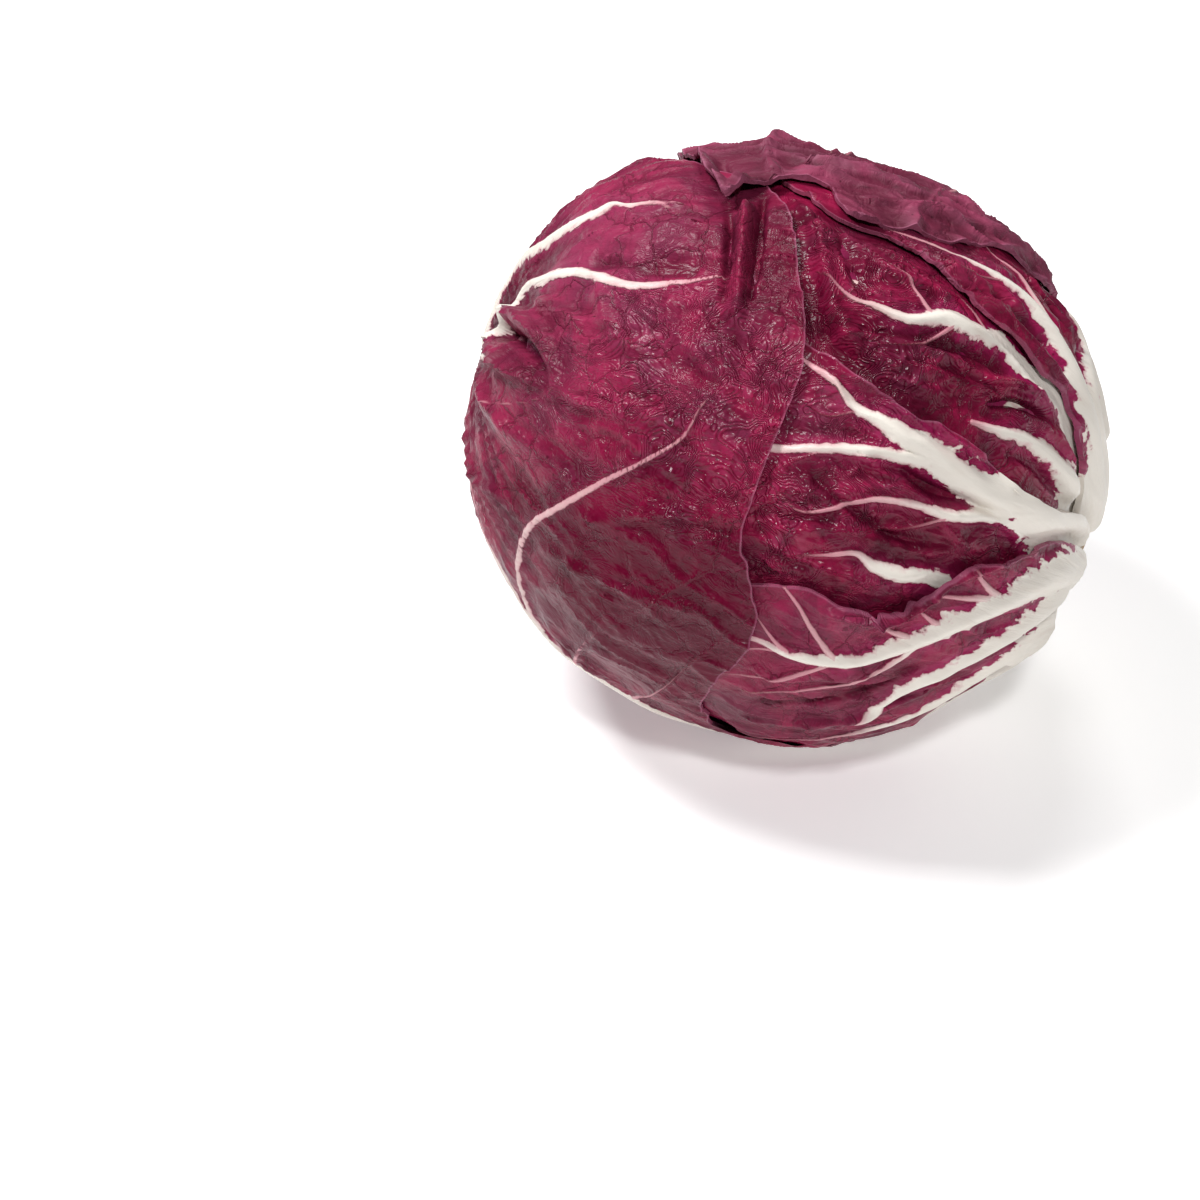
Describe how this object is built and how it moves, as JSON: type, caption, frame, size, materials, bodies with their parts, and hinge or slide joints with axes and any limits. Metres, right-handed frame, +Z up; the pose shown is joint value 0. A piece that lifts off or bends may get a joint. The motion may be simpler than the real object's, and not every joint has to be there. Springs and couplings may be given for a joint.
{
  "type": "red leaf lettuce",
  "caption": "Round head of red-leaved chicory lying on its side: dark red leaves with white ribs wrapped round a short pale stem, its underside pressed flat where it rests",
  "frame": {"origin": "middle of the flat resting spot on the underside, straight below the middle of the head", "axes": "+Z up from the surface it rests on; the cut stem points to +X, a little to -Y and 23 degrees down; -Y is the front, where the mid and low front leaves are"},
  "size_m": [0.1299, 0.1224, 0.1223],
  "materials": {
    "red_leaf": "satin",
    "faded_red_leaf": "matte",
    "inner_leaf": "satin",
    "pale_leaf": "satin",
    "stem": "matte"
  },
  "bodies": {
    "root": {"stem": "stem", "heart_bud": "pale_leaf", "cap_leaf": "faded_red_leaf", "tip_wrap_leaf": "red_leaf", "low_front_leaf": "red_leaf", "mid_front_leaf": "red_leaf", "shoulder_leaf": "red_leaf", "under_leaf": "red_leaf", "back_top_leaf": "red_leaf", "upper_front_leaf": "red_leaf", "back_low_leaf": "red_leaf", "side_leaf": "red_leaf", "inner_leaf_01": "inner_leaf", "inner_leaf_02": "inner_leaf", "inner_leaf_03": "inner_leaf", "inner_leaf_04": "inner_leaf", "inner_leaf_05": "inner_leaf", "inner_leaf_06": "inner_leaf", "inner_leaf_07": "inner_leaf", "inner_leaf_08": "inner_leaf", "inner_leaf_09": "inner_leaf", "inner_leaf_10": "inner_leaf", "inner_leaf_11": "inner_leaf", "inner_leaf_12": "inner_leaf", "inner_leaf_13": "inner_leaf", "inner_leaf_14": "inner_leaf", "inner_leaf_15": "inner_leaf"}
  },
  "joints": []
}
